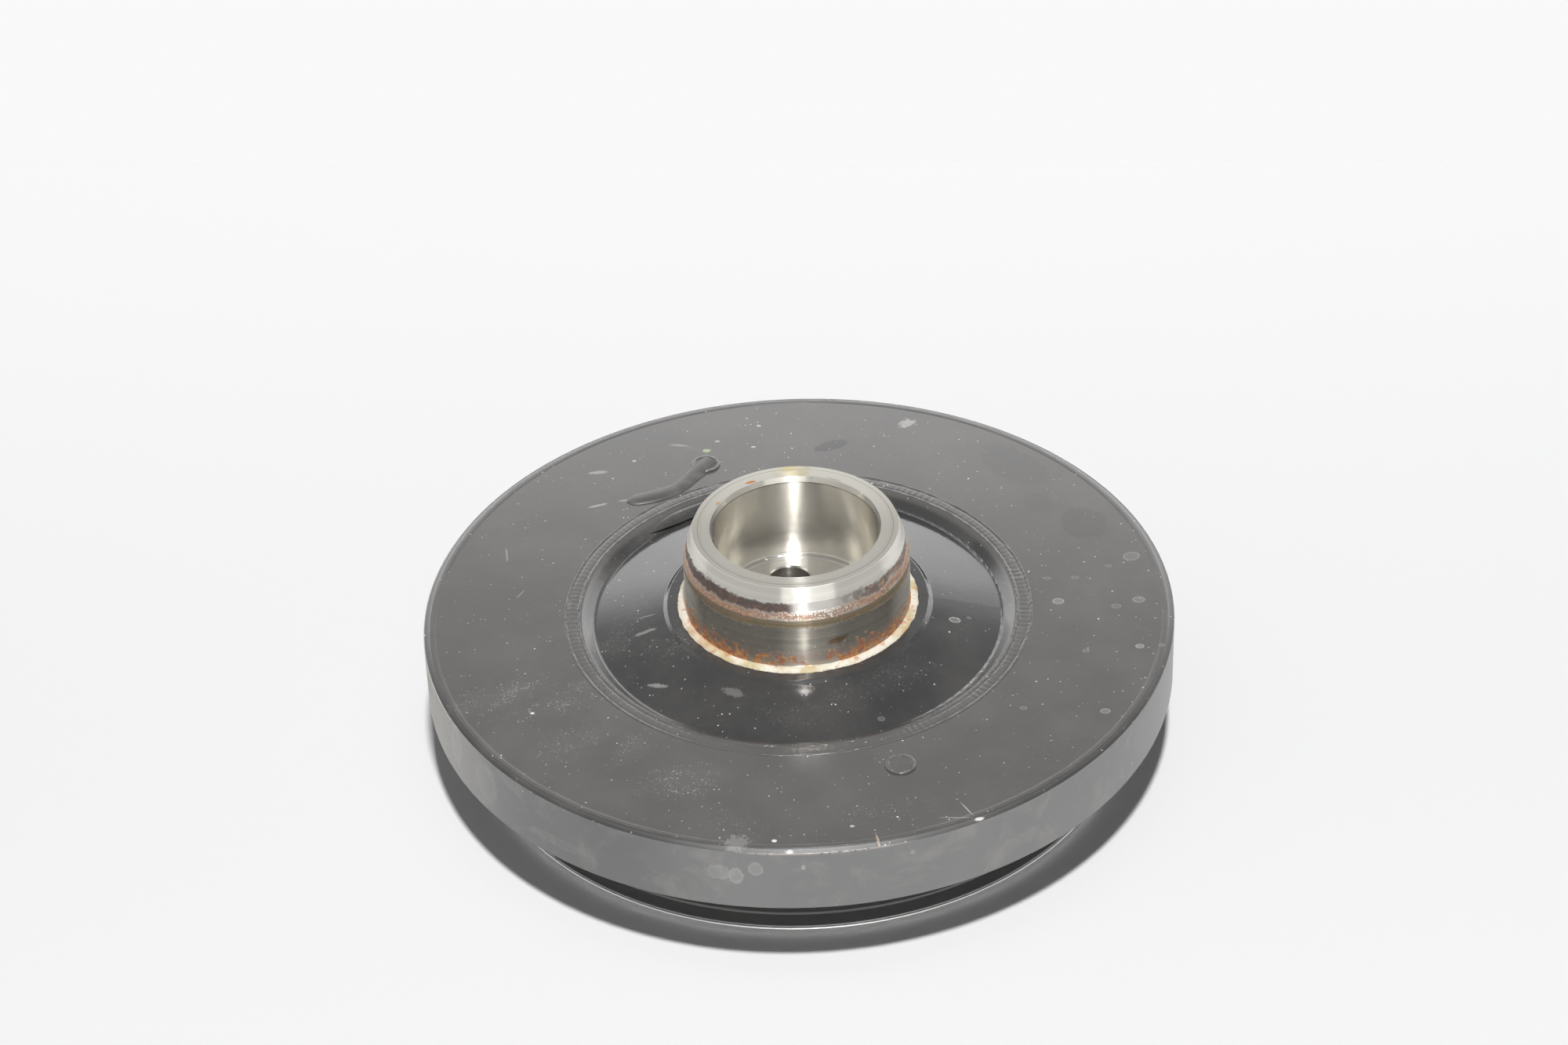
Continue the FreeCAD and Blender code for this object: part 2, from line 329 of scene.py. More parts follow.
def startMaterial(name):
    material = bpy.data.materials.new(name)
    tree = emptyNodes(material)
    shader = tree.nodes.new("ShaderNodeBsdfPrincipled")
    put("ShaderNodeOutputMaterial", {0: Value(shader.outputs[0])})
    place = useGroup(roundPlace, {"Object": putIn(tree, "ShaderNodeTexCoord")["Object"]})
    return material, shader, place


def bandMask(value, limits, soft):
    return useGroup(band, {"Value": value, "Low": limits[0], "High": limits[1], "Soft": soft})["Mask"]


def latheMarks(place, values):
    return useGroup(turning, {"Place": place["Place"], "Pitch": values["turningPitch"]})


def specksAt(place, spacing, amount, size):
    return useGroup(specks, {"Place": place, "Spacing": spacing, "Amount": amount, "Size": size})


def flatPlace(spot):
    return vectorSum("MULTIPLY", spot, (1.0, 1.0, 0.0))


def layered(values, base, *layers):
    # colours over each other from the base up, each with its mask; a word is the name of a value
    colour = values[base]
    for mask, shade in layers:
        colour = blendColour(mask, colour, values[shade] if isinstance(shade, str) else shade)
    return colour


# Camera as in the photograph, which is 2000 x 1333 pixels
photo = {
    "width": 2000,
    "focalPixels": 5149.8,
    "sensorWidth": 36.0,
    "pitch": 0.62782,
    "roll": -0.03787,
    "position": (-0.00307, -0.90134, 0.72423),
    "clip": (0.05, 30.0),
}


def makeCamera(values):
    data = bpy.data.cameras.new("photoCamera")
    data.sensor_width = values["sensorWidth"]
    data.lens = values["focalPixels"] / values["width"] * data.sensor_width
    data.clip_start, data.clip_end = values["clip"]
    camera = newObject("photoCamera", data)
    bpy.context.scene.camera = camera
    sine, cosine = math.sin(values["pitch"]), math.cos(values["pitch"])
    ahead = Vector((0, cosine, -sine))
    level = Vector((1, 0, 0))
    above = Vector((0, sine, cosine))
    right = level * math.cos(values["roll"]) + above * math.sin(values["roll"])
    top = above * math.cos(values["roll"]) - level * math.sin(values["roll"])
    turn = Matrix((right, top, -ahead)).transposed()
    camera.matrix_world = Matrix.Translation(values["position"]) @ turn.to_4x4()


makeCamera(photo)
print("camera placed")


# Studio: pale floor, pale backdrop, one small lamp overhead and a soft surround
studio = {
    "floorSize": 8.0,
    "floorDrop": 0.00004,
    "floorColour": (0.87, 0.87, 0.875, 1),
    "floorLift": 0.006,
    "farLift": 0.115,
    "liftSpan": (-0.05, 0.40),
    "wallLine": ((-3.0, 0.533, 0.0), (3.0, 0.089, 0.0)),
    "wallHeight": 0.6,
    "wallColour": (0.95, 0.95, 0.955, 1),
    "wallFade": ((0.0, (1, 0.98, 0.95, 1)), (0.30, (1, 0.98, 0.95, 1)), (0.46, (0.25, 0.245, 0.24, 1)),
                 (0.64, (0.13, 0.13, 0.13, 1)), (1.0, (0.10, 0.10, 0.10, 1))),
    "mirroredWall": 2.3,
    "lampPlace": (0.14, -1.25, 4.0),
    "lampSize": 0.34,
    "lampPower": 157.0,
    "surround": 0.165,
    "sides": (-0.9, 0.5),
    "fromLeft": 1.3,
    "fromRight": 0.85,
    "mirrored": 0.72,
    "mirroredRoom": ((0.0, (1, 1, 1, 1)), (0.50, (1, 1, 1, 1)), (0.66, (0.45, 0.45, 0.45, 1)),
                     (0.85, (0.22, 0.22, 0.22, 1)), (1.0, (0.3, 0.3, 0.3, 1))),
    "panel": 0.18,
    "panelEdge": (0.50, 0.42),
    "panelGlow": 0.8,
    "window": 0.08,
    "windowEdge": (0.060, 0.02),
    "windowRise": (0.02, 0.12),
    "windowTop": (0.9, 0.6),
    "windowGlow": 7.5,
}


def makeStagePlane(name, corners, materialName):
    mesh = bpy.data.meshes.new(name)
    mesh.from_pydata(corners, [], [(0, 1, 2, 3)])
    mesh.materials.append(bpy.data.materials.new(materialName))
    return newObject(name, mesh), emptyNodes(mesh.materials[0])


def makeFloor(values):
    half, low = values["floorSize"] / 2, -values["floorDrop"]
    corners = [(-half, -half, low), (half, -half, low), (half, half, low), (-half, half, low)]
    floor, tree = makeStagePlane("floor", corners, "paleFloor")
    paths = putIn(tree, "ShaderNodeLightPath")
    seen = most(paths["Is Camera Ray"], paths["Is Glossy Ray"])
    plain = putIn(tree, "ShaderNodeBsdfDiffuse", {"Color": values["floorColour"]})
    away = splitUp(putIn(tree, "ShaderNodeNewGeometry")["Position"])[1]
    near, far = values["liftSpan"]
    # painted light: the floor glows faintly for the camera and in reflections, more towards the back
    added = ease(away, near, far, values["floorLift"], values["floorLift"] + values["farLift"])
    lift = put("ShaderNodeEmission", {"Strength": seen * added})
    both = put("ShaderNodeAddShader", {0: plain[0], 1: lift[0]})
    put("ShaderNodeOutputMaterial", {0: both[0]})


def makeBackdrop(values):
    # one-sided, so that it hides nothing from behind; reflections see it fade towards its top
    left, right = (Vector(end) for end in values["wallLine"])
    rise = Vector((0, 0, values["wallHeight"]))
    wall, tree = makeStagePlane("backdrop", [left, right, right + rise, left + rise], "paleBackdrop")
    paths = putIn(tree, "ShaderNodeLightPath")
    geometry = putIn(tree, "ShaderNodeNewGeometry")
    height = splitUp(geometry["Position"])[2]
    seen = most(paths["Is Camera Ray"], paths["Is Glossy Ray"])
    shown = seen * (1.0 - geometry["Backfacing"])
    fade = shadeRamp(height / values["wallHeight"], values["wallFade"])
    strength = blendValue(paths["Is Glossy Ray"], 1.0, fade * values["mirroredWall"])
    glow = put("ShaderNodeEmission", {"Color": values["wallColour"], "Strength": strength})
    clear = putIn(tree, "ShaderNodeBsdfTransparent")
    mixed = put("ShaderNodeMixShader", {0: shown, 1: clear[0], 2: glow[0]})
    put("ShaderNodeOutputMaterial", {0: mixed[0]})


def makeSurround(values):
    # soft light for the object, fuller from the left; reflections see a pale low band, a panel and a bright
    # patch in front, and a darker ceiling
    bpy.context.scene.world = bpy.data.worlds.new("surround")
    tree = emptyNodes(bpy.context.scene.world)
    split = splitUp(putIn(tree, "ShaderNodeTexCoord")["Generated"])
    sideways = sums("ARCTAN2", split[0], -split[1])
    aside = sums("ABSOLUTE", sideways - values["window"])
    upright = ease(split[2], *values["windowRise"]) * ease(split[2], *values["windowTop"])
    patch = ease(aside, *values["windowEdge"]) * upright
    besides = sums("ABSOLUTE", sideways - values["panel"])
    panel = ease(besides, *values["panelEdge"]) * values["panelGlow"]
    strength = panel + values["mirrored"] + patch * values["windowGlow"]
    fill = ease(split[0], *values["sides"], values["fromLeft"], values["fromRight"]) * values["surround"]
    room = shadeRamp(split[2], values["mirroredRoom"])
    even = put("ShaderNodeBackground", {"Color": (1, 1, 1, 1), "Strength": fill})[0]
    mirrored = put("ShaderNodeBackground", {"Color": room, "Strength": strength})[0]
    white = putIn(tree, "ShaderNodeBackground", {"Color": values["wallColour"], "Strength": 1.0})[0]
    paths = putIn(tree, "ShaderNodeLightPath")
    first = put("ShaderNodeMixShader", {0: paths["Is Glossy Ray"], 1: even, 2: mirrored})[0]
    second = put("ShaderNodeMixShader", {0: paths["Is Camera Ray"], 1: first, 2: white})
    put("ShaderNodeOutputWorld", {0: second[0]})


def makeLamp(values):
    data = bpy.data.lights.new("overhead", "AREA")
    data.shape = "DISK"
    data.size = values["lampSize"]
    data.energy = values["lampPower"]
    lamp = newObject("overhead", data)
    lamp.location = values["lampPlace"]
    lamp.rotation_euler = (-Vector(values["lampPlace"])).to_track_quat("-Z", "Y").to_euler()


makeFloor(studio)
makeBackdrop(studio)
makeSurround(studio)
makeLamp(studio)
bpy.context.scene.view_settings.view_transform = "Standard"
print("studio ready")

# Black paint of the disc: dusty on the flat cover, glossy in the dished web, worn on the lip, with painted
# highlights on the lip's front and round the fill plugs and painted shade on one side of the rim (mm)
blackPaint = {
    "web": (0.053, 0.052, 0.052, 1),
    "cover": (0.120, 0.116, 0.113, 1),
    "rim": (0.235, 0.232, 0.23, 1),
    "under": (0.05, 0.05, 0.05, 1),
    "dust": (0.62, 0.60, 0.56, 1),
    "chalk": (0.85, 0.84, 0.81, 1),
    "darker": (0.065, 0.062, 0.060, 1),
    "moss": (0.42, 0.52, 0.30, 1),
    "bareMetalAndHighlight": (0.80, 0.74, 0.70, 1),
    "copper": (0.60, 0.48, 0.36, 1),
    "webRoughness": 0.10,
    "coverRoughness": 0.22,
    "lipRoughness": 0.24,  # added to the paint below it
    "rimRoughness": 0.32,
    "underRoughness": 0.4,
    "dustRoughness": 0.5,
    "specular": 0.8,
    "coverFrom": (39.0, 40.2),
    "underBelow": (33.0, 30.0),
    "underInside": (104.0, 103.5),
    "topFrom": (33.0, 37.0),
    "topInside": (104.95, 104.8),
    "lipFrom": (104.5, 104.7),
    "roughFrom": (103.2, 103.9),
    "coverRing": (59.5, 103.6),
    "bevelRing": (57.0, 60.2),
    "rimRing": (104.75, 110.0),
    "rimShadeSide": (216.0, 250.0),
    "dustyRim": (150.0, 206.0),
    "lipHighlightSide": (262.0, 283.0),
    "lipHeight": (lipTop - 0.10, lipTop + 0.06),
    "mossSpot": ((107.8, 82.3, 0, 2.4, 1.7, 0.5, 0.8),),
    "scrape": ((280.2, 102.5, 100, 4.2, 0.7, 2.0, 0.7),),
    "orangePeel": 0.014 * mm,
}

# marks on the disc, each as angle, radius, turn, length, width, raggedness and strength
waterSpots = (
    (10.8, 96.8, 20, 4.4, 3.6, 0.2, 0.3), (358.7, 72.8, 0, 3, 2.4, 0.3, 0.65),
    (356.8, 88.9, 0, 2.4, 1.9, 0.3, 0.28), (358.6, 95.3, 0, 3.2, 2.6, 0.3, 0.42),
    (345.9, 96.5, 0, 2.2, 1.7, 0.3, 0.8), (346.7, 102.4, 0, 1.6, 1.2, 0.3, 0.4),
    (7.4, 71.2, 0, 1.8, 1.3, 0.3, 0.3), (6.6, 78.9, 0, 2, 1.3, 0.3, 0.3),
    (342.6, 82.4, 0, 1.7, 1.3, 0.3, 0.35), (9, 89.3, 0, 1.7, 1.3, 0.3, 0.25),
    (327.8, 96.5, 0, 2.5, 2, 0.3, 0.55), (320.8, 77.1, 0, 1.8, 1.3, 0.3, 0.35),
    (348.4, 44.3, 5, 3, 2.1, 0.4, 0.75), (351.6, 48, 0, 1.2, 0.9, 0.3, 0.4),
    (293.5, 53.2, 0, 1.8, 1.4, 0.3, 0.4),
)
paleMarks = (
    (68.7, 94.9, 35, 5, 3, 2.6, 0.42), (96, 90.8, 0, 1.3, 1, 0.3, 0.6),
    (98.1, 80.2, 0, 1.4, 0.9, 0.3, 0.6), (104.8, 85.8, 0, 1.5, 1, 0.3, 0.45),
    (112.2, 88.2, 170, 5.5, 1.1, 0.7, 0.22), (129.5, 89.8, 5, 5.5, 1.5, 0.8, 0.3),
    (122, 87.8, 0, 1.2, 0.9, 0.2, 0.6), (137.2, 77.5, 18, 5.5, 0.9, 1.6, 0.34),
    (131.8, 73.3, 5, 4, 0.9, 0.6, 0.25), (183.4, 42.5, 3, 5, 0.5, 0.9, 0.2),
    (192.3, 43.6, 12, 5.5, 1.3, 2.2, 0.22), (218.5, 50.5, 160, 5, 1.4, 2, 0.26),
    (243.9, 42.5, 150, 6, 2.4, 1.8, 0.13), (210.4, 85, 0, 1.1, 0.9, 0.2, 1),
    (259.5, 101.8, 0, 6, 5.5, 2.8, 0.16), (265, 100.4, 0, 1.3, 1.1, 0.4, 1),
    (267.3, 104.2, 0, 2.2, 1.1, 1, 1), (295.6, 104, 20, 2.6, 0.8, 1.4, 0.9),
    (295, 99.5, 118, 6, 0.4, 0.8, 0.36), (292.6, 101.2, 176, 8, 0.3, 0.5, 0.36),
    (277, 96, 0, 1.1, 0.9, 0.3, 0.6), (160, 88, 95, 6.5, 0.5, 0.5, 0.22),
    (172, 79, 60, 4, 0.4, 0.4, 0.2),
)
dustPatches = (
    (246.1, 81.7, 10, 16, 11, 2.6, 0.9), (203, 91, 25, 24, 8, 2.8, 0.8),
    (211, 78, 20, 26, 7, 2.8, 0.65), (208, 67, 30, 14, 5, 2.4, 0.6),
    (222, 86, 40, 18, 9, 2.8, 0.55), (232, 76, 60, 16, 6, 2.8, 0.5),
    (258, 94, 60, 10, 16, 2.6, 0.35), (206, 38, 0, 16, 9, 2.4, 0.7),
    (188, 50, 70, 18, 8, 2.4, 0.4), (300, 42, 30, 24, 8, 2.6, 0.45),
    (283, 92, 10, 20, 9, 2.6, 0.35), (268, 48, 0, 20, 7, 2.4, 0.35),
)
darkMarks = (
    (81.5, 79.4, 20, 10, 4.4, 1, 0.75), (45, 92, 130, 24, 13, 1, 0.2),
    (23, 90, 110, 15, 13, 0.9, 0.28), (33, 84, 120, 10, 7, 0.8, 0.18),
)
# on the rim the second number is the height
rimMarks = (
    (259.5, 31.9, 0, 3.6, 4.4, 1.1, 0.42), (262.4, 34.5, 0, 3.4, 4, 0.9, 0.34),
    (257, 32.6, 0, 6.5, 4.2, 1.6, 0.24), (269.2, 35.3, 0, 0.9, 1.3, 0.2, 0.8),
    (215, 31, 80, 12, 9, 1.2, 0.16), (206, 33, 80, 12, 6, 1.2, 0.25),
    (231, 27, 0, 16, 3, 1.2, 0.1), (330, 33, 90, 9, 5, 2.2, 0.05),
    (285, 36, 0, 1.1, 1.1, 0.2, 0.5),
)


def markMasks(spot, rough, marks, soft=0.2, unrolled=False):
    # the filled masks and the edges of a whole list of marks
    filled, edged = 0.0, 0.0
    for degrees, radius, turn, length, width, ragged, strength in marks:
        angle = math.radians(degrees)
        centre = (radius * math.cos(angle), radius * math.sin(angle), 0.0)
        if unrolled:
            centre = (angle * discRadius, radius, 0.0)
        mark = useGroup(blot, {"Place": spot, "Centre": centre, "Turn": (0.0, 0.0, math.radians(turn)),
                               "Reach": (length / 2, width / 2, 1.0), "Rough": rough,
                               "Ragged": ragged, "Soft": soft})
        filled = most(mark["Mask"] * strength, filled)
        edged = most(mark["Edge"] * strength, edged)
    return filled, edged


def paintNoise(spot):
    # noise that several of the marks share
    mottle = noiseAt(spot, 0.8, 3.0, 0.7)
    return {"cloud": noiseAt(spot, 0.04, 5.0, 0.62), "mottle": mottle, "rough": mottle - 0.5,
            "wisps": noiseAt(spot, 1.1, 3.0, 0.6, 2.5), "clumps": noiseAt(spot, 0.22, 3.0, 0.6),
            "cells": cellsAt(spot, 1.3)["Distance"]}


def paintDust(place, noise, rim, values):
    # a thin film of dust in clouds, thicker on the bevel and over one part of the rim
    film = ease(noise["cloud"], 0.35, 0.72, 0.0, 0.045)
    bevel = bandMask(place["Radius"], values["bevelRing"], 0.8)
    dusty = bandMask(place["Degrees"], values["dustyRim"], 14.0)
    smudge = noiseAt(place["Unrolled"], 0.09, 5.0, 0.65, 0.6)
    film = film + bevel * ease(noise["cloud"], 0.45, 0.65, 0.01, 0.07)
    film = film + rim * ease(noise["wisps"], 0.35, 0.65, 0.5, 1.0) * dusty * 1.1
    return film + rim * ease(smudge, 0.48, 0.7, 0.0, 0.14)


def paintPale(place, flat, noise, top, rim):
    # water spots, scuffs and patches of dust from above, and drips down the rim
    rough = noise["rough"]
    spots = markMasks(flat, rough, waterSpots)
    spotted = spots[0] * 0.2 + spots[1] * 0.48
    pale = most(spotted, markMasks(flat, rough, paleMarks, soft=0.35)[0])
    grit = most(ease(noise["cells"] + rough, 0.22, 0.08), ease(noise["wisps"], 0.58, 0.68, 0.0, 0.8))
    grit = grit * ease(noise["clumps"], 0.4, 0.6, 0.15, 1.0)
    patches = markMasks(flat, rough, dustPatches, soft=0.7)[0] * (grit * 0.5 + 0.02)
    drips = markMasks(place["Unrolled"], rough, rimMarks, soft=0.3, unrolled=True)
    dripped = drips[0] * 0.35 + drips[1] * 0.42
    return most(most(pale, patches) * top, dripped * rim)


def paintGrains(place, flat, noise, top, rim):
    # grains of dust and hairlines
    fine = specksAt(flat, 1.1, 0.24, 0.27)
    coarse = specksAt(flat, 4.6, 0.34, 0.33)
    settled = specksAt(place["Unrolled"], 2.6, 0.16, 0.30)
    lines = useGroup(scratches, {"Place": flat, "Spacing": 7.0, "Amount": 0.14, "Width": 0.17})
    grains = most(fine["Mask"] * fine["Shade"] * ease(noise["cloud"], 0.40, 0.62, 0.35, 1.0),
                  coarse["Mask"] * ease(coarse["Shade"], 0.0, 1.0, 0.3, 1.0), lines["Mask"] * 0.14)
    return most(grains * top, settled["Mask"] * settled["Shade"] * rim)


def plugHighlightRings(flat, mottle):
    # pale rings in the dust colour painted round the fill plugs as a highlight of their edges
    for node in ("fill_plug_1", "fill_plug_2"):
        low, high = (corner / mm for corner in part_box(node))
        middle, reach = (low + high) / 2, (high.x - low.x) / 2
        away = vectorSum("DISTANCE", flat, (middle.x, middle.y, 0.0))
        ring = bandMask(away, (reach - 0.75, reach - 0.2), 0.18)
        yield ring * ease(mottle, 0.42, 0.62, 0.0, 0.22)


def makeBlackPaint(values):
    material, shader, place = startMaterial("blackPaint")
    radius, height, degrees, spot = (place[key] for key in ("Radius", "Height", "Degrees", "Place"))
    flat, noise = flatPlace(spot), paintNoise(spot)
    mottle, rough = noise["mottle"], noise["rough"]
    cover = bandMask(radius, values["coverRing"], 0.9) * ease(height, *values["coverFrom"])
    rim = bandMask(radius, values["rimRing"], 0.08)
    under = ease(height, *values["underBelow"]) * ease(radius, *values["underInside"])
    top = ease(height, *values["topFrom"]) * ease(radius, *values["topInside"])
    # painted shade: one side of the rim is darkened towards the underside colour
    paintedRimShade = rim * bandMask(degrees, values["rimShadeSide"], 12.0) * 0.42
    film = paintDust(place, noise, rim, values)
    darker = markMasks(flat, rough, darkMarks, soft=0.12)
    darker = sums("ADD", darker[0], darker[1] * 0.25, clamp=True)
    pale = paintPale(place, flat, noise, top, rim)
    grains = paintGrains(place, flat, noise, top, rim)
    moss, scrape = (markMasks(flat, rough, values[key])[0] for key in ("mossSpot", "scrape"))

    # worn lip in patches all round, plus a painted highlight: bare metal colour over the band of the lip that
    # faces the front
    lip = bandMask(height, values["lipHeight"], 0.05) * ease(radius, *values["lipFrom"])
    front = bandMask(degrees, values["lipHighlightSide"], 4.0) * ease(mottle, 0.38, 0.46)
    bareAndHighlight = lip * most(ease(mottle, 0.66, 0.70), front)

    colour = layered(
        values, "web", (cover, "cover"), (rim, "rim"), (paintedRimShade, "under"), (under, "under"), (film, "dust"),
        (darker * top, "darker"), (pale, "chalk"), (grains, "chalk"),
        *((ring * top, "dust") for ring in plugHighlightRings(flat, mottle)),
        (moss * top, "moss"), (scrape * top, "copper"), (bareAndHighlight, "bareMetalAndHighlight"))
    roughness = blendValue(cover, values["webRoughness"], values["coverRoughness"])
    roughness = roughness + ease(radius, *values["roughFrom"], 0.0, values["lipRoughness"])
    roughness = blendValue(rim, roughness, values["rimRoughness"])
    roughness = blendValue(under, roughness, values["underRoughness"])
    roughness = roughness + (film + pale) * values["dustRoughness"]
    feed(shader, {"Base Color": colour, "Roughness": roughness, "Metallic": bareAndHighlight,
                  "Normal": bumpOf(noiseAt(spot, 0.5, 2.0), values["orangePeel"]),
                  "Specular IOR Level": values["specular"]})
    return material


# Thick runs of the same paint; their colour, darker than the dusty cover, is painted shade standing for their
# dark reflection
thickPaint = {
    "paint": (0.090, 0.087, 0.085, 1),
    "dust": (0.30, 0.295, 0.285, 1),
    "roughness": 0.37,
    "waves": 0.03 * mm,
}


def makeThickPaint(values):
    material, shader, place = startMaterial("thickPaint")
    cloud = noiseAt(place["Place"], 0.25, 4.0)
    grains = specksAt(place["Place"], 1.2, 0.2, 0.25)["Mask"]
    settled = most(ease(cloud, 0.40, 0.70, 0.02, 0.22), grains * 0.6)
    feed(shader, {"Base Color": layered(values, "paint", (settled, "dust")),
                  "Roughness": settled * 0.5 + values["roughness"], "Specular IOR Level": 0.6,
                  "Normal": bumpOf(cloud, values["waves"])})
    return material


# Machined steel of the hub, with its bands of rust and heat stain (heights in mm, sides in degrees)
turnedSteel = {
    "steel": (0.80, 0.78, 0.73, 1),
    "worn": (0.58, 0.56, 0.51, 1),
    "bore": (0.91, 0.885, 0.83, 1),
    "journal": (0.50, 0.46, 0.38, 1),
    "endFace": (0.82, 0.79, 0.70, 1),
    "dulled": (0.33, 0.31, 0.29, 1),
    "stain": (0.105, 0.066, 0.056, 1),
    "ochre": (0.34, 0.20, 0.08, 1),
    "olive": (0.22, 0.175, 0.09, 1),
    "blush": (0.29, 0.175, 0.11, 1),
    # near-white colour of the painted glints on the shoulder
    "sparkle": (0.92, 0.88, 0.82, 1),
    "straw": (0.60, 0.50, 0.20, 1),
    "veil": (0.42, 0.33, 0.29, 1),
    "orange": (0.58, 0.24, 0.05, 1),
    "dust": (0.88, 0.86, 0.76, 1),
    "roughness": (0.19, 0.265),  # from about 0.27 on, the denoised steel looks brushed
    "rustRoughness": 0.46,
    "turningPitch": 0.22,
    "outsideFrom": (26.5, 28.0),
    "boreFrom": (24.0, 23.6),
    "endFaceFrom": (23.6, 24.2),
    "leadInBand": (64.9, hubTop - 0.1),
    "mouthBand": (hubTop - 1.95, hubTop - 1.65),
    "neckBand": (61.7, 64.7),
    "shoulderBand": (59.7, 61.6),
    "ochreBand": (57.0, 59.7),
    "journalBand": (44.0, 59.7),
    "endRing": (27.0, 27.2),
    "strawSide": (83.0, 99.0),
    "leftSide": (158.0, 267.0),
    "rightSide": (296.0, 372.0),
    "paintedGlintSide": (252.0, 300.0),
    "frontSide": (250.0, 288.0),
    "besideFront": ((292.0, 345.0), (192.0, 236.0)),
    "smearRadius": 31.5,
    "smearPlace": (159.1, 51.5, 0.0),
}
endRust = (
    (119.0, 24.7, 20, 3.0, 1.1, 1.2, 0.9), (150.0, 24.5, 60, 1.8, 1.0, 1.0, 0.7),
    (62.0, 24.4, 150, 5.0, 0.7, 1.2, 0.25),
)


def steelPlaces(place, values):
    # masks and noise that the bands of the hub share
    spot, height, degrees = place["Place"], place["Height"], place["Degrees"]
    wander, mottle = noiseAt(spot, 0.13, 3.0), noiseAt(spot, 0.9, 4.0, 0.65)
    return {
        "outside": ease(place["Radius"], *values["outsideFrom"]),
        "inside": ease(place["Radius"], *values["boreFrom"]),
        "left": bandMask(degrees, values["leftSide"], 4.0),
        "right": bandMask(degrees, values["rightSide"], 12.0),
        "wander": wander,
        "mottle": mottle,
        "rough": mottle - 0.5,
        "wavy": height + ease(wander, 0.25, 0.75, -0.55, 0.55) + ease(mottle, 0.25, 0.75, -0.45, 0.45),
        "fleck": useGroup(rust, {"Place": spot, "Size": 1.5, "Amount": 0.5, "Seed": 31.0}),
        "marks": latheMarks(place, values),
    }


def steelTop(place, at, values):
    # colours of the bore, the lead-in, the end face with its fine circle, and the journal
    height, outside, inside, streaks = place["Height"], at["outside"], at["inside"], at["marks"]["Streaks"]
    leadIn = bandMask(height, values["leadInBand"], 0.2) * outside
    endFace = ease(height, hubTop - 0.25, hubTop - 0.1) * ease(place["Radius"], *values["endFaceFrom"])
    ring = bandMask(place["Radius"], values["endRing"], 0.12) * endFace
    straw = bandMask(place["Degrees"], values["strawSide"], 7.0) * endFace
    mouthLine = bandMask(height, values["mouthBand"], 0.1) * inside
    journal = bandMask(height, values["journalBand"], 0.4) * outside
    layers = ((streaks * 0.4, "worn"), (inside * 0.8, "bore"), (leadIn * 0.45, "worn"),
              (endFace * 0.75, "endFace"), (ring * 0.5, "dulled"),
              (straw * ease(at["wander"], 0.3, 0.7), "straw"), (mouthLine * 0.8, "dulled"),
              (journal * 0.7, "journal"))
    return layers, ease(streaks, 0.2, 0.8, *values["roughness"]) - endFace * 0.04


def steelNeck(at, values):
    # heat stain and brown rust on the neck, left and right of the front
    sides = most(at["left"], at["right"] * 0.85)
    neck = bandMask(at["wavy"], values["neckBand"], 0.45) * at["outside"] * sides
    rusted = at["fleck"]["Mask"] * (at["right"] * 0.45 + 0.15)
    return neck * ease(at["wander"], 0.28, 0.42), layered(values, "stain", (rusted, at["fleck"]["Colour"]))


def steelShoulder(at, degrees, sparkle, values):
    # sparkling crust below the neck, oranger towards the sides, with painted glints where it faces the front
    shoulder = bandMask(at["wavy"], values["shoulderBand"], 0.5) * at["outside"]
    toOrange = ease(sparkle, 0.75, 0.25) * (most(at["left"], at["right"]) * 0.5 + 0.42)
    paintedGlints = ease(sparkle, 0.70, 0.80) * bandMask(degrees, values["paintedGlintSide"], 14.0)
    return shoulder, layered(values, "blush", (toOrange, at["fleck"]["Colour"]), (paintedGlints, "sparkle"))


def steelRoot(place, at, values):
    # orange blotches at the root, thinner over the front
    degrees = place["Degrees"]
    sides = most(*(bandMask(degrees, limits, 8.0) for limits in values["besideFront"]))
    low = ease(at["wavy"], 53.5, 46.0, 0.0, 0.60) + sides * 0.07
    low = low + ease(at["wander"], 0.30, 0.70, -0.16, 0.16)
    amount = low - bandMask(degrees, values["frontSide"], 14.0) * 0.12
    root = useGroup(rust, {"Place": place["Place"], "Size": 2.0, "Amount": amount, "Seed": 12.0})
    return root["Mask"] * at["outside"] * ease(place["Height"], 53.5, 51.0), root["Colour"]


def steelSmear(place, at, values):
    # one brown smear on the journal, right of the front
    around = sums("RADIANS", place["Degrees"]) * values["smearRadius"]
    smear = useGroup(blot, {"Place": joined(around, place["Height"]), "Centre": values["smearPlace"],
                            "Turn": (0.0, 0.0, 0.1), "Reach": (2.6, 1.0, 1.0), "Rough": at["rough"],
                            "Ragged": 2.0, "Soft": 0.4})["Mask"]
    return smear * at["outside"] * 0.8


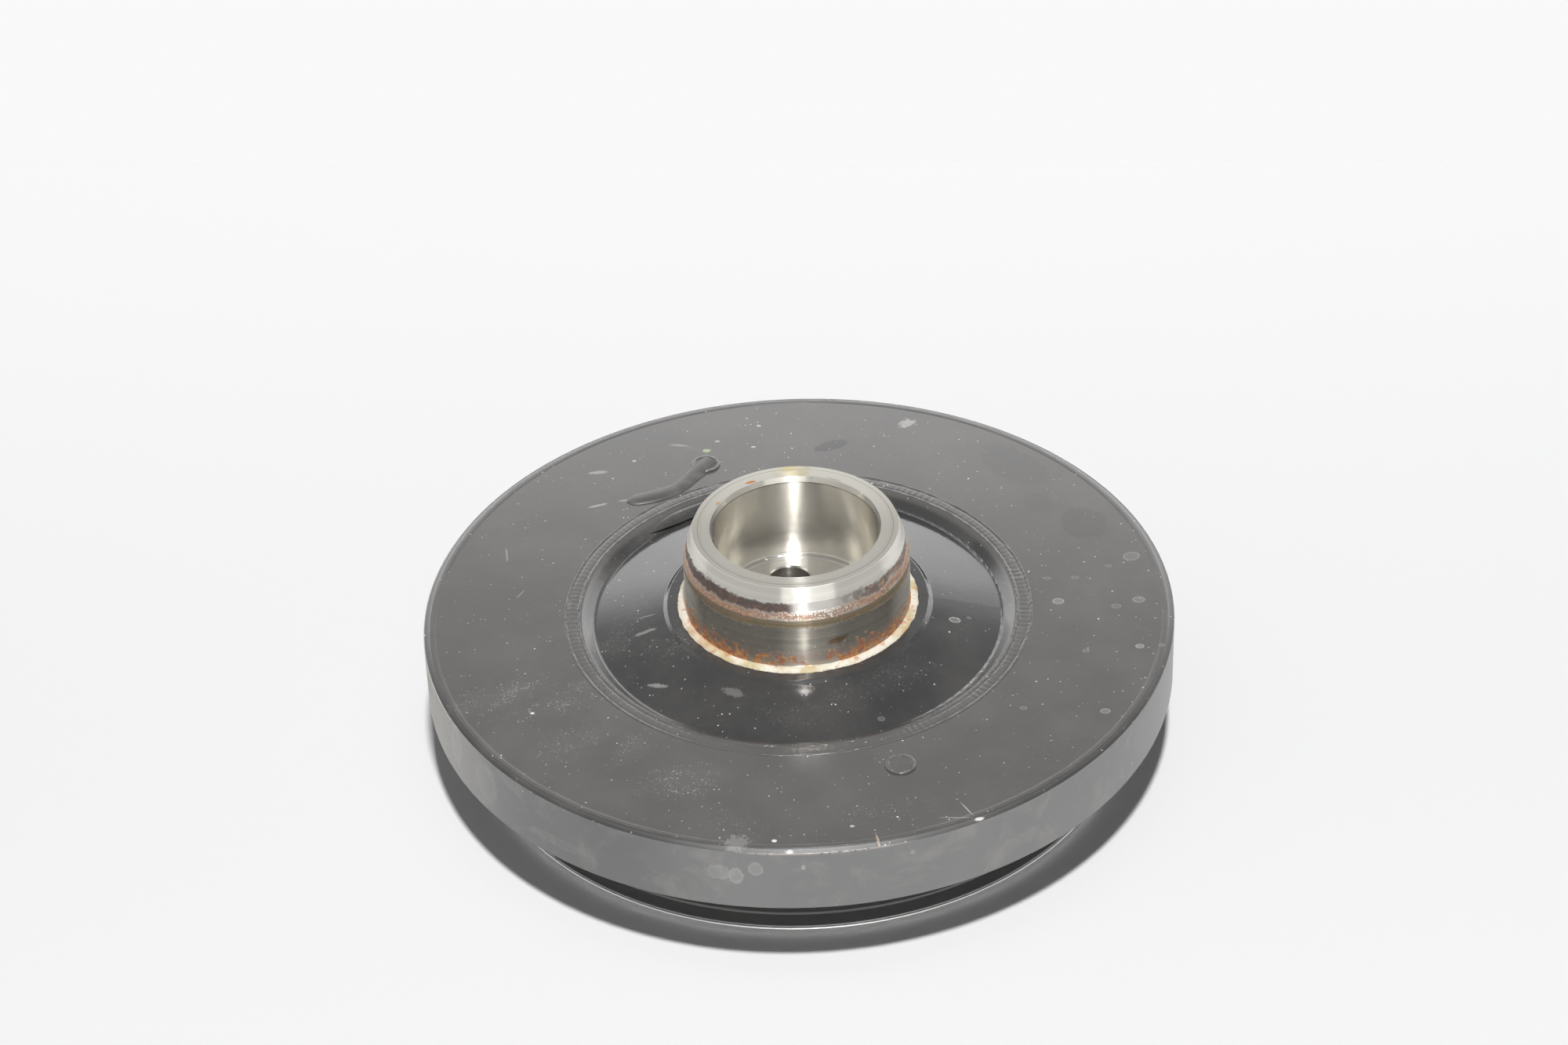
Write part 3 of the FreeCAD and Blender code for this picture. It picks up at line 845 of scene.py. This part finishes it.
def makeTurnedSteel(values):
    material, shader, place = startMaterial("turnedSteel")
    at = steelPlaces(place, values)
    spot, outside, fleck, marks = place["Place"], at["outside"], at["fleck"], at["marks"]
    clean, roughness = steelTop(place, at, values)
    stained, stainColour = steelNeck(at, values)
    sparkle = splitColour(cellsAt(spot, 3.4)["Color"])[0]
    shoulder, crusted = steelShoulder(at, place["Degrees"], sparkle, values)

    # ochre band at the top of the journal, dull and rusty root, and rust spots on the end face
    ochre = bandMask(at["wavy"], values["ochreBand"], 0.45) * outside
    ochre = ochre * ease(marks["Streaks"], 0.3, 0.6, 0.35, 0.9)
    dulled = ease(at["wavy"], 51.5, 48.0) * outside
    veil = dulled * ease(at["mottle"], 0.42, 0.62) * 0.55
    rootMask, rootColour = steelRoot(place, at, values)
    spots = markMasks(flatPlace(spot), at["rough"], endRust)[0] * ease(place["Height"], 66.0, 67.0)

    # dust grains, most of them in the bore and on the end face
    grains = specksAt(spot, 2.0, 0.3, 0.28)
    dusty = grains["Mask"] * grains["Shade"] * (1.0 - outside * 0.6)

    colour = layered(
        values, "steel", *clean, (stained * 0.92, stainColour), (shoulder * 0.85, crusted),
        (ochre, layered(values, "olive", (fleck["Mask"], "ochre"))), (dulled * 0.7, "dulled"), (veil, "veil"),
        (rootMask, rootColour), (spots, "orange"), (steelSmear(place, at, values), "ochre"), (dusty, "dust"))
    crusty = most(stained, shoulder * 0.8, ochre, rootMask, dulled * 0.3, spots)
    metal = sums("SUBTRACT", ease(crusty, 0.2, 1.0, 1.0, 0.15), dusty, clamp=True)
    grooved = ease(at["inside"], 0.0, 1.0, 0.0006, 0.0003) * marks["Marks"]
    tangent = putIn(shader.id_data, "ShaderNodeTangent", direction_type="RADIAL", axis="Z")[0]
    roughness = blendValue(crusty, roughness, values["rustRoughness"])
    feed(shader, {"Base Color": colour, "Metallic": metal, "Roughness": roughness,
                  "Normal": bumpOf(grooved + crusty * sparkle * 0.08, mm), "Anisotropic": 1.0,
                  "Anisotropic Rotation": 0.25, "Tangent": tangent})
    return material


# Sealer squeezed out round the hub's root
creamSealer = {
    "cream": (0.84, 0.80, 0.68, 1),
    "yellowed": (0.62, 0.52, 0.30, 1),
    "stained": (0.62, 0.30, 0.16, 1),
    "stainedSide": (178.0, 222.0),
    "lumps": 0.4 * mm,
}


def makeCreamSealer(values):
    material, shader, place = startMaterial("creamSealer")
    spot = place["Place"]
    tone = noiseAt(spot, 0.12, 3.0)
    stain = useGroup(rust, {"Place": spot, "Size": 3.0, "Amount": 0.38, "Seed": 2.0})
    side = bandMask(place["Degrees"], values["stainedSide"], 8.0)
    stained = most(stain["Mask"] * 0.7, side * ease(tone, 0.3, 0.6, 0.05, 0.35))
    feed(shader, {"Base Color": layered(values, "cream", (ease(tone, 0.45, 0.65), "yellowed"),
                                        (stained, "stained")),
                  "Roughness": 0.5, "Normal": bumpOf(noiseAt(spot, 0.8, 4.0), values["lumps"], 0.6)})
    return material


# Satin paint of the belt pulley; the edge of its flange is rubbed to bare metal and painted near white as a
# highlight (mm)
pulleyPaint = {
    "paint": (0.25, 0.243, 0.243, 1),
    "rubbed": (0.34, 0.335, 0.33, 1),
    "bareEdgeHighlight": (0.97, 0.96, 0.95, 1),
    "dust": (0.55, 0.53, 0.50, 1),
    "roughness": (0.30, 0.45),
    "turningPitch": 0.4,
    "edgeFrom": 90.6,
    "roundFrom": 1.5,
}


def makePulleyPaint(values):
    material, shader, place = startMaterial("pulleyPaint")
    marks = latheMarks(place, values)
    flangeHighlightEdge = ease(place["Radius"], values["edgeFrom"], values["edgeFrom"] + 0.4)
    cloud = noiseAt(place["Place"], 0.06, 5.0)
    # the flange edge's near-white colour is partly bare metal, partly a painted highlight
    colour = layered(values, "paint", (marks["Streaks"] * 0.3, "rubbed"), (flangeHighlightEdge, "bareEdgeHighlight"),
                     (ease(cloud, 0.45, 0.8, 0.0, 0.12), "dust"))
    # the flange's upper corner looks rounded
    corner = most(place["Height"] - values["roundFrom"], 0.0)
    raised = marks["Marks"] * 0.01 + cloud * 0.02 - corner * corner * flangeHighlightEdge
    feed(shader, {"Base Color": colour, "Roughness": ease(marks["Streaks"], 0.2, 0.8, *values["roughness"]),
                  "Metallic": flangeHighlightEdge * 0.8, "Normal": bumpOf(raised, mm), "Specular IOR Level": 0.7})
    return material


# Inner pieces, sealed in the chamber
innerPieces = {
    "iron": (0.26, 0.25, 0.24, 1),
    "ironDark": (0.14, 0.135, 0.13, 1),
    "polymer": (0.42, 0.36, 0.24, 1),
    "polymerDark": (0.30, 0.25, 0.16, 1),
    "ironSurface": (0.45, 0.9),  # roughness and metallic
    "polymerSurface": (0.5, 0.0),
    "turningPitch": 0.35,
    "marks": 0.02 * mm,
}


def makeInnerFinish(name, values, shade):
    material, shader, place = startMaterial(name)
    roughness, metallic = values[shade + "Surface"]
    marks = latheMarks(place, values)
    feed(shader, {"Base Color": layered(values, shade, (marks["Streaks"], shade + "Dark")),
                  "Roughness": roughness, "Metallic": metallic,
                  "Normal": bumpOf(marks["Marks"], values["marks"], 0.5)})
    return material


# the finish that stands for each slot of the record
finishOfSlot = {
    "black_paint": makeBlackPaint(blackPaint),
    "machined_steel": makeTurnedSteel(turnedSteel),
    "cream_sealer": makeCreamSealer(creamSealer),
    "pulley_paint": makePulleyPaint(pulleyPaint),
    "inner_iron": makeInnerFinish("turnedIron", innerPieces, "iron"),
    "bearing_polymer": makeInnerFinish("bearingPolymer", innerPieces, "polymer"),
}
runFinish = makeThickPaint(thickPaint)
print("finishes made:", len(finishOfSlot) + 1)


def dressNodes():
    for part in frame["record"]["subparts"]:
        mesh = frame["nodes"][part["node"]].data
        mesh.materials.clear()
        mesh.materials.append(finishOfSlot[part["material_slot"]])


dressNodes()
print("CAD nodes dressed")

# Seam beads: one tree makes both welds of the cover and the sealer, a section carried round the axis
beadInputs = {
    "NodeSocketFloat": ("Start Radius", "Start Height", "End Radius", "End Height", "Root Radius",
                        "Root Height", "Crown", "Ridge", "Ripple Height", "Wander", "Lumps", "Seed"),
    "NodeSocketInt": ("Ripple Count", "Steps Around", "Steps Across"),
    "NodeSocketMaterial": ("Finish",),
}
beadShape = {
    "faceShare": 0.7,  # share of the section that is the visible face
    "ridgeFromMiddle": 0.40,
    "ridgeWidth": 0.05,
    "dipInward": 0.13,
    "dipDepth": 0.6,
    "edgeGuard": 14.0,
    "noiseClimb": 0.03,
    "rippleLean": 2.2,
    "mergeDistance": 0.001 * mm,
}


def startGrowTree(name, inputs):
    return startTree(name, "GeometryNodeTree", {key: kind for kind, keys in inputs.items() for key in keys})


def endGrowTree(tree, geometry, source):
    smooth = put("GeometryNodeSetShadeSmooth", {0: geometry})[0]
    real = put("GeometryNodeRealizeInstances", {0: smooth})[0]
    finished = put("GeometryNodeSetMaterial", {"Geometry": real, "Material": source["Finish"]})[0]
    return endTree(tree, {"Geometry": finished})


def position(tree):
    return splitUp(putIn(tree, "GeometryNodeInputPosition")[0])


def swing(place, scale, detail=2.0):
    # noise between -1 and 1
    return (noiseAt(place, scale, detail) - 0.5) * 2.0


def bell(value):
    return sums("EXPONENT", -(value * value))


def beadSection(along, source, share):
    # the section runs along the face from start to end, then to the root and back to the start
    onFace = least(along / share, 1.0)
    behind = most((along - share) / (1 - share), 0.0) * 2.0
    toRoot = least(behind, 1.0)
    fromRoot = most(behind - 1.0, 0.0)
    found = []
    for kind in (" Radius", " Height"):
        start, end, root = source["Start" + kind], source["End" + kind], source["Root" + kind]
        face = blendValue(onFace, start, end)
        found.append(blendValue(fromRoot, blendValue(toRoot, face, root), start))
    return onFace, found[0], found[1]


def beadLift(onFace, turn, place, source, shape):
    # how far the face rises: a crown, two raised edges, ripples and lumps, and nothing where it ends
    hump = onFace * (1.0 - onFace) * 4.0
    edge = sums("ABSOLUTE", onFace - 0.5) - shape["ridgeFromMiddle"]
    dip = (edge + shape["dipInward"]) / shape["ridgeWidth"]
    lip = bell(edge / shape["ridgeWidth"]) - bell(dip) * shape["dipDepth"]
    uneven = most(swing(place, 16.0) * 1.6 + 0.7, 0.1)
    phase = turn * source["Ripple Count"] + hump * shape["rippleLean"] + swing(place, 5.0) * 3.0
    ripple = sums("SINE", phase) * most(swing(place, 4.0), 0.1) * source["Ripple Height"]
    lift = hump * source["Crown"] + lip * uneven * source["Ridge"] + ripple
    lift = lift + swing(place, 26.0, 3.0) * source["Lumps"]
    return lift * least(least(onFace, 1.0 - onFace) * shape["edgeGuard"], 1.0)


def makeBeadTree(shape):
    tree, source = startGrowTree("seamBead", beadInputs)
    grid = put("GeometryNodeMeshGrid", {"Size X": 1.0, "Size Y": 1.0,
                                        "Vertices X": source["Steps Around"] + 1.0,
                                        "Vertices Y": source["Steps Across"] + 1.0})[0]
    split = position(tree)
    turn, along = (split[0] + 0.5) * (2 * math.pi), split[1] + 0.5
    onFace, radius, height = beadSection(along, source, shape["faceShare"])

    # the noise is read on a circle, so that both ends of the bead meet
    cosine, sine = sums("COSINE", turn), sums("SINE", turn)
    level = vectorSum("ADD", joined(cosine, sine), source["Seed"])
    climb = joined(z=onFace * shape["noiseClimb"])
    lift = beadLift(onFace, turn, vectorSum("ADD", level, climb), source, shape)
    lift = lift * sums("LESS_THAN", along, shape["faceShare"])

    # the lift stands at right angles to the face
    run = source["End Radius"] - source["Start Radius"]
    rise = source["End Height"] - source["Start Height"]
    reach = sums("SQRT", run * run + rise * rise)
    radius = radius - lift * (rise / reach) + swing(level, 14.0) * source["Wander"]
    placed = joined(radius * cosine, radius * sine, height + lift * (run / reach))
    bent = put("GeometryNodeSetPosition", {"Geometry": grid, "Position": placed})[0]
    closed = put("GeometryNodeMergeByDistance", {0: bent, "Distance": shape["mergeDistance"]})[0]
    return endGrowTree(tree, put("GeometryNodeFlipFaces", {0: closed})[0], source)


def grow(name, tree, values, start=None):
    # runs a tree on an object and keeps the result as a plain mesh at the origin
    base = start or newObject(name + "Start", bpy.data.meshes.new(name + "Start"))
    modifier = base.modifiers.new("grow", "NODES")
    modifier.node_group = tree
    for item in tree.interface.items_tree:
        if item.item_type == "SOCKET" and item.in_out == "INPUT" and item.name in values:
            modifier[item.identifier] = values[item.name]
    bpy.context.view_layer.update()
    graph = bpy.context.evaluated_depsgraph_get()
    mesh = bpy.data.meshes.new_from_object(base.evaluated_get(graph))
    mesh.name = name
    base.modifiers.remove(modifier)
    bpy.data.objects.remove(base)
    return newObject(name, mesh)


beadTree = makeBeadTree(beadShape)

# Lengths of the beads in mm; the rest are counts and seeds
innerSeam = {
    "radius": 63.35,
    "halfWidth": 2.4,
    "feather": 0.02,
    "depth": 1.6,
    "crown": 0.05,
    "ridge": 0.24,
    "rippleCount": 205,
    "rippleHeight": 0.09,
    "wander": 0.16,
    "seed": 3.0,
    "stepsAround": 2400,
    "stepsAcross": 26,
}
outerSeam = {
    **innerSeam,
    "radius": 102.4,
    "halfWidth": 0.85,
    "depth": 0.7,
    "crown": 0.10,
    "ridge": 0.05,
    "rippleCount": 520,
    "rippleHeight": 0.02,
    "wander": 0.10,
    "seed": 8.0,
}
sealerBead = {
    "innerRadius": 31.45,
    "outerRadius": 33.75,
    "drop": 0.3,
    "innerRise": 0.75,
    "feather": 0.02,
    "depth": 0.7,
    "crown": 0.30,
    "wander": 0.38,
    "lumps": 0.22,
    "seed": 5.0,
    "stepsAround": 900,
    "stepsAcross": 20,
}


def makeBead(name, corners, values, slot, replaced):
    # corners are the radius and height of the section's start, end and root; the rest as in beadInputs
    lengths = [*corners, values["crown"], values.get("ridge", 0.0), values.get("rippleHeight", 0.0),
               values["wander"], values.get("lumps", 0.0)]
    inputs = {key: length * mm for key, length in zip(beadInputs["NodeSocketFloat"], lengths)}
    inputs.update({"Ripple Count": values.get("rippleCount", 1), "Seed": values["seed"],
                   "Steps Around": values["stepsAround"], "Steps Across": values["stepsAcross"],
                   "Finish": finishOfSlot[slot]})
    piece = grow(name, beadTree, inputs)
    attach(piece, "pulley")
    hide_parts(replaced)


def makeTopSeam(name, values, replaced):
    middle, half, edge = values["radius"], values["halfWidth"], faceTop + values["feather"]
    corners = (middle - half, edge, middle + half, edge, middle, faceTop - values["depth"])
    makeBead(name, corners, values, "black_paint", replaced)


def makeSealer(values):
    inner, low = values["innerRadius"], sealerTop - values["drop"]
    corners = (inner, low + values["innerRise"], values["outerRadius"], low - values["feather"],
               inner, low - values["depth"])
    makeBead("sealerBead", corners, values, "cream_sealer", "sealer_ring")


makeTopSeam("innerSeamBead", innerSeam, "inner_weld_bead")
makeTopSeam("outerSeamBead", outerSeam, "outer_weld_bead")
makeSealer(sealerBead)
print("seam beads grown")

# Runs and pools of paint: a rounded section carried along a short curve
runSides = 28
runInputs = {
    "NodeSocketGeometry": ("Geometry",),
    "NodeSocketFloat": ("Level", "Flatten", "Sink", "Step"),
    "NodeSocketMaterial": ("Finish",),
}


def makeRunTree():
    tree, source = startGrowTree("paintRun", runInputs)
    path = put("GeometryNodeResampleCurve", {"Curve": source["Geometry"], "Length": source["Step"]},
               mode="LENGTH")[0]
    ring = putIn(tree, "GeometryNodeCurvePrimitiveCircle", {"Resolution": runSides, "Radius": 1.0})[0]
    reach = putIn(tree, "GeometryNodeInputRadius")[0]
    tube = put("GeometryNodeCurveToMesh", {"Curve": path, "Profile Curve": ring, "Scale": reach,
                                           "Fill Caps": True})[0]
    split = position(tree)
    rise = most((split[2] - source["Level"]) * source["Flatten"], -source["Sink"])
    placed = joined(split[0], split[1], source["Level"] + rise)
    flat = put("GeometryNodeSetPosition", {"Geometry": tube, "Position": placed})[0]
    return endGrowTree(tree, flat, source)


# points of the run are (x, y, half width); all lengths in mm, angles in degrees
paintRun = {
    "points": ((-23.6, 72.6, 3.3), (-26.0, 70.0, 3.2), (-29.0, 66.0, 2.7), (-31.8, 61.8, 2.6),
               (-35.0, 58.6, 2.8), (-38.8, 56.6, 3.0), (-42.6, 55.3, 3.0), (-45.8, 54.4, 2.7),
               (-47.8, 53.9, 1.8), (-48.6, 53.8, 0.5)),
    "flatten": 1.05 / 3.4,
    "sink": 0.2,
    "step": 0.6,
}
paintPool = {
    "from": 72.0,
    "to": 137.0,
    "steps": 40,
    "radius": 58.9,
    "level": 38.55,
    "halfWidth": 3.0,
    "endWidth": 0.1,
    "taper": 6.0,
    "blunt": 0.6,
    "flatten": 0.46,
    "sink": 1.0,
    "step": 0.8,
}


def makeCurve(name, points):
    # points are (x, y, z, radius) in mm
    curve = bpy.data.curves.new(name, "CURVE")
    curve.dimensions = "3D"
    spline = curve.splines.new("NURBS")
    spline.points.add(len(points) - 1)
    for point, (x, y, z, reach) in zip(spline.points, points):
        point.co = (x * mm, y * mm, z * mm, 1.0)
        point.radius = reach * mm
    spline.order_u = 3
    spline.use_endpoint_u = True
    spline.resolution_u = 12
    return newObject(name + "Path", curve)


def makeRun(name, tree, points, level, values, finish):
    piece = grow(name, tree, {"Level": level * mm, "Flatten": values["flatten"], "Sink": values["sink"] * mm,
                              "Step": values["step"] * mm, "Finish": finish}, makeCurve(name, points))
    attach(piece, "pulley")


def makePaintRun(values, tree):
    points = [(x, y, faceTop, reach) for x, y, reach in values["points"]]
    makeRun("paintRun", tree, points, faceTop, values, runFinish)


def makePaintPool(values, tree):
    points = []
    for step in range(values["steps"] + 1):
        share = step / values["steps"]
        turn = math.radians(values["from"] + share * (values["to"] - values["from"]))
        taper = min(1.0, share * values["taper"], (1.0 - share) * values["taper"]) ** values["blunt"]
        points.append((values["radius"] * math.cos(turn), values["radius"] * math.sin(turn), values["level"],
                       max(values["endWidth"], values["halfWidth"] * taper)))
    makeRun("paintPool", tree, points, values["level"], values, finishOfSlot["black_paint"])


runTree = makeRunTree()
makePaintRun(paintRun, runTree)
makePaintPool(paintPool, runTree)
print("paint runs grown")
